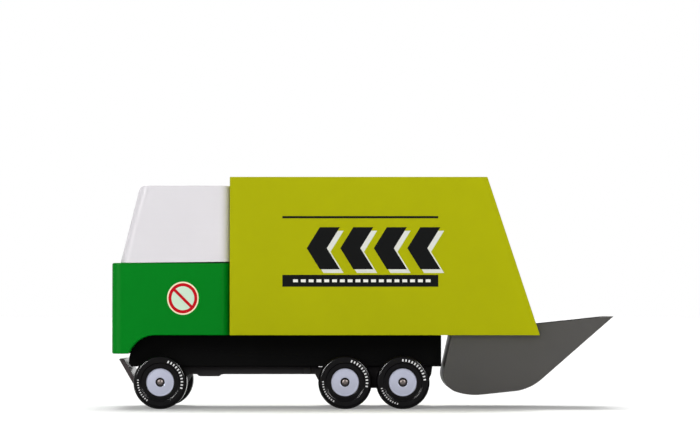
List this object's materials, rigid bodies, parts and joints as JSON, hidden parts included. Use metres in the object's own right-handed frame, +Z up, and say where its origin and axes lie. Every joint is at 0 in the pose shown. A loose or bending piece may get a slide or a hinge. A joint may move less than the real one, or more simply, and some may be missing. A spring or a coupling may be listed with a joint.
{
  "type": "toy garbage truck",
  "caption": "Wooden toy garbage truck with a cab, an open-backed container, rubber wheels on steel axles that roll, and a hinged rear scoop that tips up into the container.",
  "frame": {"origin": "on the floor, under the middle of the truck's whole length and width", "axes": "+X forward, towards the cab; +Y to the truck's left; +Z up"},
  "size_m": [0.2624, 0.08, 0.1213],
  "materials": {
    "black_paint": "satin black paint on wood",
    "green_paint": "satin green paint on wood",
    "white_paint": "satin white paint on wood",
    "lime_paint": "satin lime paint on wood",
    "black_plastic": "moulded black plastic",
    "tyre_rubber": "moulded black rubber",
    "silver_plastic": "satin silver plastic",
    "steel": "plain steel",
    "grey_steel": "satin dark grey paint on sheet steel"
  },
  "bodies": {
    "truck": {"chassis_block": "black_paint", "cab_base": "green_paint", "cab_top": "white_paint", "container_front": "lime_paint", "container_side_left": "lime_paint", "container_side_right": "lime_paint", "container_roof": "lime_paint", "container_floor": "lime_paint", "undercarriage": "black_plastic"},
    "wheels_front": {"tyre_front_left": "tyre_rubber", "rim_front_left": "silver_plastic", "tyre_front_right": "tyre_rubber", "rim_front_right": "silver_plastic", "axle_front": "steel"},
    "wheels_middle": {"tyre_middle_left": "tyre_rubber", "rim_middle_left": "silver_plastic", "tyre_middle_right": "tyre_rubber", "rim_middle_right": "silver_plastic", "axle_middle": "steel"},
    "wheels_rear": {"tyre_rear_left": "tyre_rubber", "rim_rear_left": "silver_plastic", "tyre_rear_right": "tyre_rubber", "rim_rear_right": "silver_plastic", "axle_rear": "steel"},
    "scoop": {"scoop_pan": "grey_steel", "scoop_side_left": "grey_steel", "scoop_side_right": "grey_steel", "scoop_pin_left": "steel", "scoop_pin_right": "steel"}
  },
  "joints": [
    {"name": "wheels_front_roll", "type": "hinge", "parent": "truck", "child": "wheels_front", "pos_m": [0.10581, 0, 0.014], "axis": [0, 1, 0], "continuous": true},
    {"name": "wheels_middle_roll", "type": "hinge", "parent": "truck", "child": "wheels_middle", "pos_m": [0.00921, 0, 0.014], "axis": [0, 1, 0], "continuous": true},
    {"name": "wheels_rear_roll", "type": "hinge", "parent": "truck", "child": "wheels_rear", "pos_m": [-0.02099, 0, 0.014], "axis": [0, 1, 0], "continuous": true},
    {"name": "scoop_tip", "type": "hinge", "parent": "truck", "child": "scoop", "pos_m": [-0.06962, 0, 0.05781], "axis": [0, 1, 0], "range_deg": [0, 101.7]}
  ]
}
